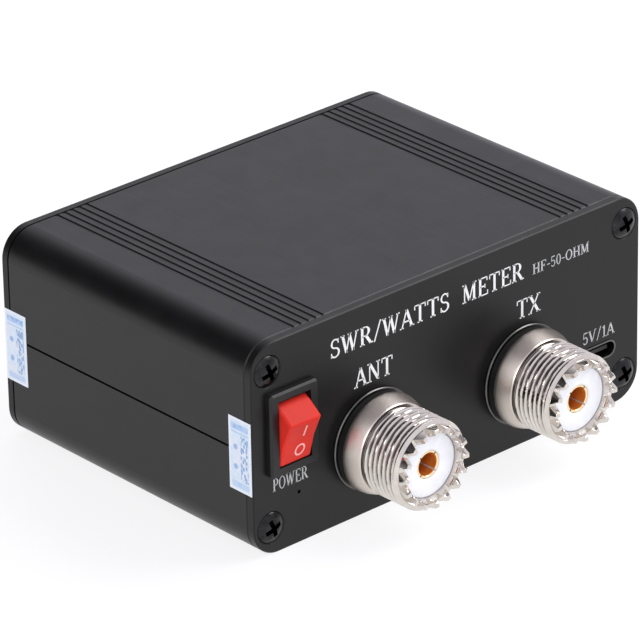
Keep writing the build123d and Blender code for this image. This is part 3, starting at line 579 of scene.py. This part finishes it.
GLYPH = {
    "A": (0.88, [("s", 0.10, 0.0, 0.43, 1.0, TN), ("s", 0.42, 1.0, 0.76, 0.0, TK), ("s", 0.20, 0.34, 0.64, 0.34, TN),
                 serif(0.10, 0.025, 0.26), serif(0.77, 0.025, 0.30)]),
    "E": (0.80, [("s", 0.20, 0, 0.20, 1, TK), ("s", 0.08, 0.975, 0.70, 0.975, SF), ("s", 0.08, 0.025, 0.73, 0.025, SF),
                 ("s", 0.2, 0.51, 0.54, 0.51, TN), ("s", 0.54, 0.40, 0.54, 0.62, SF), ("s", 0.69, 0.78, 0.69, 1.0, SF),
                 ("s", 0.73, 0.0, 0.73, 0.24, SF)]),
    "F": (0.76, [("s", 0.20, 0, 0.20, 1, TK), ("s", 0.08, 0.975, 0.68, 0.975, SF), serif(0.20, 0.025),
                 ("s", 0.2, 0.50, 0.52, 0.50, TN), ("s", 0.52, 0.39, 0.52, 0.61, SF), ("s", 0.67, 0.76, 0.67, 1.0, SF)]),
    "H": (0.96, [("s", 0.20, 0, 0.20, 1, TK), ("s", 0.74, 0, 0.74, 1, TK), ("s", 0.2, 0.51, 0.74, 0.51, TN),
                 serif(0.2, 0.025), serif(0.2, 0.975), serif(0.74, 0.025), serif(0.74, 0.975)]),
    "M": (1.10, [("s", 0.18, 0, 0.18, 1, TN), ("s", 0.20, 1, 0.52, 0.06, TK), ("s", 0.52, 0.06, 0.84, 1, TN),
                 ("s", 0.86, 0, 0.86, 1, TK), serif(0.16, 0.025, 0.26), serif(0.14, 0.975, 0.22), serif(0.86, 0.025),
                 serif(0.92, 0.975, 0.22)]),
    "N": (0.96, [("s", 0.18, 0, 0.18, 1, TN), ("s", 0.20, 0.98, 0.76, 0.04, TK), ("s", 0.77, 0.0, 0.77, 1, TN),
                 serif(0.18, 0.025, 0.26), serif(0.14, 0.975, 0.22), serif(0.77, 0.975, 0.26)]),
    "O": (0.94, [("a", 0.46, 0.5, 0.34, 0.47, 0, 360, TK, TN)]),
    "P": (0.76, [("s", 0.20, 0, 0.20, 1, TK), serif(0.20, 0.025), ("s", 0.08, 0.975, 0.42, 0.975, SF),
                 ("s", 0.2, 0.47, 0.42, 0.47, SF), ("a", 0.40, 0.722, 0.24, 0.25, -90, 90, TK, SF)]),
    "R": (0.90, [("s", 0.20, 0, 0.20, 1, TK), serif(0.20, 0.025), ("s", 0.08, 0.975, 0.42, 0.975, SF),
                 ("s", 0.2, 0.49, 0.42, 0.49, SF), ("a", 0.40, 0.732, 0.23, 0.24, -90, 90, TK, SF),
                 ("s", 0.44, 0.49, 0.74, 0.03, TK), serif(0.79, 0.025, 0.20)]),
    "S": (0.72, [("a", 0.35, 0.745, 0.22, 0.23, 30, 270, 0.105, TN), ("a", 0.35, 0.26, 0.24, 0.245, -150, 90, 0.12, TN),
                 ("s", 0.555, 0.74, 0.555, 0.98, SF), ("s", 0.115, 0.02, 0.115, 0.28, SF)]),
    "T": (0.86, [("s", 0.43, 0, 0.43, 1, TK), ("s", 0.07, 0.975, 0.79, 0.975, SF), serif(0.43, 0.025, 0.34),
                 ("s", 0.08, 0.76, 0.08, 1, SF), ("s", 0.78, 0.76, 0.78, 1, SF)]),
    "V": (0.88, [("s", 0.12, 1, 0.44, 0, TK), ("s", 0.43, 0, 0.74, 1, TN), serif(0.12, 0.975, 0.28),
                 serif(0.76, 0.975, 0.24)]),
    "W": (1.20, [("s", 0.12, 1, 0.36, 0, TK), ("s", 0.36, 0, 0.58, 1, TN), ("s", 0.56, 1, 0.80, 0, TK),
                 ("s", 0.80, 0, 1.04, 1, TN), serif(0.12, 0.975, 0.26), serif(0.57, 0.975, 0.24),
                 serif(1.05, 0.975, 0.22)]),
    "X": (0.90, [("s", 0.14, 1, 0.74, 0, TK), ("s", 0.74, 1, 0.14, 0, TN), serif(0.15, 0.975, 0.28),
                 serif(0.74, 0.975, 0.24), serif(0.14, 0.025, 0.24), serif(0.74, 0.025, 0.28)]),
    "0": (0.66, [("a", 0.33, 0.5, 0.215, 0.47, 0, 360, TK * 0.85, TN)]),
    "1": (0.56, [("s", 0.29, 0, 0.29, 1, TK * 0.85), ("s", 0.12, 0.80, 0.29, 0.97, TN), serif(0.29, 0.025, 0.34)]),
    "5": (0.66, [("s", 0.14, 0.965, 0.54, 0.965, TN * 1.2), ("s", 0.14, 0.97, 0.12, 0.50, SF),
                 ("a", 0.31, 0.31, 0.215, 0.285, -150, 130, 0.11, TN)]),
    "/": (0.60, [("s", 0.08, -0.05, 0.50, 1.05, TN)]),
    "-": (0.50, [("s", 0.08, 0.42, 0.42, 0.42, TN)]),
    "&": (0.96, [("a", 0.34, 0.77, 0.155, 0.205, 0, 360, 0.075, TN), ("a", 0.34, 0.27, 0.245, 0.255, 120, 330, 0.11, TN),
                 ("s", 0.24, 0.66, 0.80, 0.04, TK), ("s", 0.22, 0.50, 0.46, 0.66, TN), ("s", 0.54, 0.14, 0.78, 0.52, TN),
                 serif(0.78, 0.53, 0.22), serif(0.82, 0.025, 0.16)]),
    " ": (0.52, []),
}


def stroke_quads(items):
    """Turn strokes into outline polygons, each a list of (x, y)."""
    out = []
    for it in items:
        if it[0] == "s":
            _, x0, y0, x1, y1, t = it
            dx, dy = x1 - x0, y1 - y0
            L = math.hypot(dx, dy)
            if abs(dy) > 0.5 and abs(dx) > 0.05:       # slanted stem: cut level at top and foot
                h = t / 2 * L / abs(dy)
                out.append([(x0 - h, y0), (x0 + h, y0), (x1 + h, y1), (x1 - h, y1)])
            else:
                nx, ny = -dy / L * t / 2, dx / L * t / 2
                out.append([(x0 + nx, y0 + ny), (x0 - nx, y0 - ny), (x1 - nx, y1 - ny), (x1 + nx, y1 + ny)])
        else:
            _, cx, cy, rx, ry, a0, a1, ts, tt = it
            n = max(8, int(abs(a1 - a0) / 9))
            inner, outer = [], []
            for i in range(n + 1):
                a = math.radians(a0 + (a1 - a0) * i / n)
                t = tt + (ts - tt) * abs(math.cos(a)) ** 1.5
                outer.append((cx + (rx + t * 0.5) * math.cos(a), cy + (ry + tt * 0.5) * math.sin(a)))
                inner.append((cx + (rx - t * 0.5) * math.cos(a), cy + (ry - tt * 0.5) * math.sin(a)))
            for i in range(n):
                out.append([outer[i], outer[i + 1], inner[i + 1], inner[i]])
    return out


def area2(p):
    return sum(p[i][0] * p[(i + 1) % len(p)][1] - p[(i + 1) % len(p)][0] * p[i][1] for i in range(len(p)))


def lettering(name, text, x0, x1, z0, z1, y=None, out=-1, thick=0.03, mat=None):
    """Raised ink from x0 to x1 (mm from the plate's left edge seen from outside)."""
    y = FRONT / MM if y is None else y
    adv = [GLYPH[c][0] for c in text]
    total = sum(adv)
    h = z1 - z0
    sx = (x1 - x0) / total
    verts, faces = [], []
    cx = 0.0
    for c, a in zip(text, adv):
        for poly in stroke_quads(GLYPH[c][1]):
            pts = [(x0 + (cx + px) * sx, z0 + pz * h) for px, pz in poly]
            if area2(pts) < 0:
                pts = pts[::-1]
            n = len(pts)
            b = len(verts)
            for lvl in (-0.01, thick):
                for px, pz in pts:
                    X = px - W / MM / 2 if out < 0 else W / MM / 2 - px
                    verts.append((X * MM, (y + out * lvl) * MM, pz * MM))
            top = tuple(b + n + i for i in range(n))
            bot = tuple(b + i for i in range(n))[::-1]
            faces.append(top)
            faces.append(bot)
            for i in range(n):
                j = (i + 1) % n
                faces.append((b + i, b + j, b + n + j, b + n + i))
        cx += a
    return add_mesh(name, verts, faces, mat or INK, "case")


lettering("ink_title_a", "SWR/WATTS", 17.1, 43.9, 30.85, 34.15)
lettering("ink_title_b", "METER", 46.6, 60.8, 30.85, 34.15)
lettering("ink_bands", "HF-50-OHM", 62.8, 76.1, 30.85, 32.75, mat=INK_THIN)
lettering("ink_ant", "ANT", 22.4, 31.0, 23.7, 27.1)
lettering("ink_tx", "TX", 59.0, 64.7, 23.7, 27.1)
lettering("ink_power", "POWER", 4.2, 11.9, 11.3, 13.6, mat=INK_THIN)
lettering("ink_charge", "5V/1A", 74.6, 82.2, 13.55, 15.75, mat=INK_THIN)



def ink_frame(name, node, grow, r, t, thick=0.03):
    """A thin printed frame around the window, on the display plate's outer face."""
    lo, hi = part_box(node)
    cx, cz = (lo.x + hi.x) / 2 / MM, (lo.z + hi.z) / 2 / MM
    w = (hi.x - lo.x) / MM - 4.0 + 2 * grow
    h = (hi.z - lo.z) / MM - 4.0 + 2 * grow
    K = 9
    verts, faces = [], []
    for inset, lvl in ((0.0, -0.01), (0.0, thick), (t, thick), (t, -0.01)):
        for sx, sz, a0 in ((1, 1, 0), (-1, 1, 90), (-1, -1, 180), (1, -1, 270)):
            for k in range(K):
                a = math.radians(a0 + 90 * k / (K - 1))
                rr = r - inset
                X = cx + sx * (w / 2 - r) + rr * math.cos(a)
                Z = cz + sz * (h / 2 - r) + rr * math.sin(a)
                verts.append((X * MM, BACK + lvl * MM, Z * MM))
    n = 4 * K
    for i in range(4):
        k = (i + 1) % 4
        for j in range(n):
            j2 = (j + 1) % n
            faces.append((i * n + j, i * n + j2, k * n + j2, k * n + j))
    return add_mesh(name, verts, faces, INK_THIN, "case")


ink_frame("ink_window_frame", "display_window", 1.7, 3.0, 0.30)

# ---------------------------------------------------------------------------
# rocker marks: I above the waist, O near the pressed end, flush ink on the face
# ---------------------------------------------------------------------------
rk = centre("switch_rocker")
piv = None
for j in frame["joints"]:
    if j["name"] == "rocker_tilt":
        piv = Vector(j["pos_m"])
TILT = math.radians(19.5)


def face_point(u, v, x):
    """Rocker frame (u up the neutral rocker, v outwards) to the stored, tilted place."""
    uu = u * math.cos(TILT) - v * math.sin(TILT)
    vv = u * math.sin(TILT) + v * math.cos(TILT)
    return (piv.x + x * MM, piv.y - vv * MM, piv.z + uu * MM)


def face_v(u):
    """Height of the shallow V face over the pivot line."""
    return 5.0 + 0.33 * abs(u) / 4.42


def rocker_patch(name, polys, lift=0.03):
    verts, faces = [], []
    for poly in polys:
        if area2(poly) < 0:
            poly = poly[::-1]
        n = len(poly)
        b = len(verts)
        for lvl in (-0.03, lift):
            for x, u in poly:
                verts.append(face_point(u, face_v(u) + lvl, x))
        faces.append(tuple(b + n + i for i in range(n)))
        faces.append(tuple(b + i for i in range(n))[::-1])
        for i in range(n):
            j = (i + 1) % n
            faces.append((b + i, b + j, b + n + j, b + n + i))
    return add_mesh(name, verts, faces, MARK, "rocker")


def ring_polys(cx, cy, rx, ry, t, n=40):
    out = []
    for i in range(n):
        a, b = 2 * math.pi * i / n, 2 * math.pi * (i + 1) / n
        out.append([(cx + rx * math.cos(a), cy + ry * math.sin(a)), (cx + rx * math.cos(b), cy + ry * math.sin(b)),
                    (cx + (rx - t) * math.cos(b), cy + (ry - t) * math.sin(b)),
                    (cx + (rx - t) * math.cos(a), cy + (ry - t) * math.sin(a))])
    return out


rocker_patch("mark_on", [[(0.50 - 0.17, 0.95), (0.50 + 0.17, 0.95), (0.50 + 0.17, 3.3), (0.50 - 0.17, 3.3)]])
rocker_patch("mark_off", ring_polys(0.45, -2.05, 1.10, 1.20, 0.31))

# ---------------------------------------------------------------------------
# floor, light, camera
# ---------------------------------------------------------------------------
fm = Mat("floor_paint")
fn = fm.noise(fm.tc.outputs["Object"], 14.0, 3.0, 0.55)
fm.set(Base_Color=fm.ramp(fn, [(0.3, (0.195, 0.195, 0.197)), (0.7, (0.205, 0.205, 0.207))]),
       Roughness=fm.vrange(fn, 0.3, 0.7, 0.55, 0.65))
fm.b.inputs["Emission Color"].default_value = (1.0, 1.0, 1.01, 1.0)
fm.b.inputs["Emission Strength"].default_value = 0.83
fm.b.inputs["Specular IOR Level"].default_value = 0.2
S = 4.0
fme = bpy.data.meshes.new("floor")
fme.from_pydata([(-S, -S, -0.00002), (S, -S, -0.00002), (S, S, -0.00002), (-S, S, -0.00002)], [], [(0, 1, 2, 3)])
fme.materials.append(fm.m)
floor = bpy.data.objects.new("floor", fme)
bpy.context.scene.collection.objects.link(floor)

world = bpy.data.worlds.new("studio")
bpy.context.scene.world = world
world.use_nodes = True
wt = world.node_tree
wt.nodes.clear()
wo = wt.nodes.new("ShaderNodeOutputWorld")
bg = wt.nodes.new("ShaderNodeBackground")
bg2 = wt.nodes.new("ShaderNodeBackground")
mx = wt.nodes.new("ShaderNodeMixShader")
lp = wt.nodes.new("ShaderNodeLightPath")
tcw = wt.nodes.new("ShaderNodeTexCoord")
dot = wt.nodes.new("ShaderNodeVectorMath")
dot.operation = "DOT_PRODUCT"
dk = Vector((-0.52, 0.70, 0.48)).normalized()
dot.inputs[1].default_value = dk
rmp = wt.nodes.new("ShaderNodeValToRGB")
rmp.color_ramp.elements[0].position = 0.60
rmp.color_ramp.elements[0].color = (0.99, 0.965, 1.05, 1)
rmp.color_ramp.elements[1].position = 0.93
rmp.color_ramp.elements[1].color = (0.02, 0.02, 0.02, 1)
wt.links.new(tcw.outputs["Generated"], dot.inputs[0])
wt.links.new(dot.outputs["Value"], rmp.inputs["Fac"])
sepw = wt.nodes.new("ShaderNodeSeparateXYZ")
wt.links.new(tcw.outputs["Generated"], sepw.inputs[0])
ceil = wt.nodes.new("ShaderNodeValToRGB")          # the studio has a dark ceiling
ceil.color_ramp.elements[0].position = 0.80
ceil.color_ramp.elements[0].color = (1.0, 1.0, 1.0, 1)
ceil.color_ramp.elements[1].position = 0.90
ceil.color_ramp.elements[1].color = (0.38, 0.38, 0.385, 1)
wt.links.new(sepw.outputs[2], ceil.inputs["Fac"])
both = wt.nodes.new("ShaderNodeMix")
both.data_type = "RGBA"
both.blend_type = "MULTIPLY"
both.inputs[0].default_value = 1.0
wt.links.new(rmp.outputs["Color"], both.inputs[6])
wt.links.new(ceil.outputs["Color"], both.inputs[7])
wt.links.new(both.outputs[2], bg.inputs["Color"])
bg.inputs["Strength"].default_value = 0.95
bg2.inputs["Color"].default_value = (0.93, 0.93, 0.935, 1)
bg2.inputs["Strength"].default_value = 1.0
wt.links.new(lp.outputs["Is Camera Ray"], mx.inputs[0])
wt.links.new(bg.outputs[0], mx.inputs[1])
wt.links.new(bg2.outputs[0], mx.inputs[2])
wt.links.new(mx.outputs[0], wo.inputs["Surface"])


def area(name, loc, target, size, power, shape="RECTANGLE", size_y=None):
    d = bpy.data.lights.new(name, "AREA")
    d.shape = shape
    d.size = size
    d.size_y = size_y or size
    d.energy = power
    o = bpy.data.objects.new(name, d)
    o.location = loc
    v = Vector(target) - Vector(loc)
    o.rotation_mode = "QUATERNION"
    o.rotation_quaternion = v.to_track_quat("-Z", "Y")
    bpy.context.scene.collection.objects.link(o)
    return o


area("key", (0.55, -0.35, 0.75), (0, 0, 0.02), 0.45, 5.0, size_y=0.6)
area("fill", (-0.75, -0.45, 0.45), (0, 0, 0.02), 0.5, 2.2, size_y=0.5)

cam_d = bpy.data.cameras.new("camera")
cam = bpy.data.objects.new("camera", cam_d)
bpy.context.scene.collection.objects.link(cam)
bpy.context.scene.camera = cam
F_PX, AZ, EL, ROLL = 5486.78, -41.67863, 26.01607, -1.063273
TX_, TY_, DIST = -0.023677, 0.4177997, 24.524177
UNIT = 0.0383
a, e, rl = math.radians(AZ), math.radians(EL), math.radians(ROLL)
back = Vector((math.sin(a) * math.cos(e), -math.cos(a) * math.cos(e), math.sin(e)))
fwd = -back
right0 = fwd.cross(Vector((0, 0, 1))).normalized()
up0 = right0.cross(fwd)
right = right0 * math.cos(rl) + up0 * math.sin(rl)
up = -right0 * math.sin(rl) + up0 * math.cos(rl)
pos = (right * TX_ + up * TY_ - fwd * DIST) * UNIT
rot = Matrix((right, up, back)).transposed()
cam.matrix_world = Matrix.Translation(pos) @ rot.to_4x4()
cam_d.sensor_fit = "HORIZONTAL"
cam_d.sensor_width = 36.0
cam_d.lens = F_PX / 640 * 36.0
cam_d.clip_start = 0.05
cam_d.clip_end = 20.0

bpy.context.scene.view_settings.view_transform = "Standard"
bpy.context.scene.view_settings.look = "None"
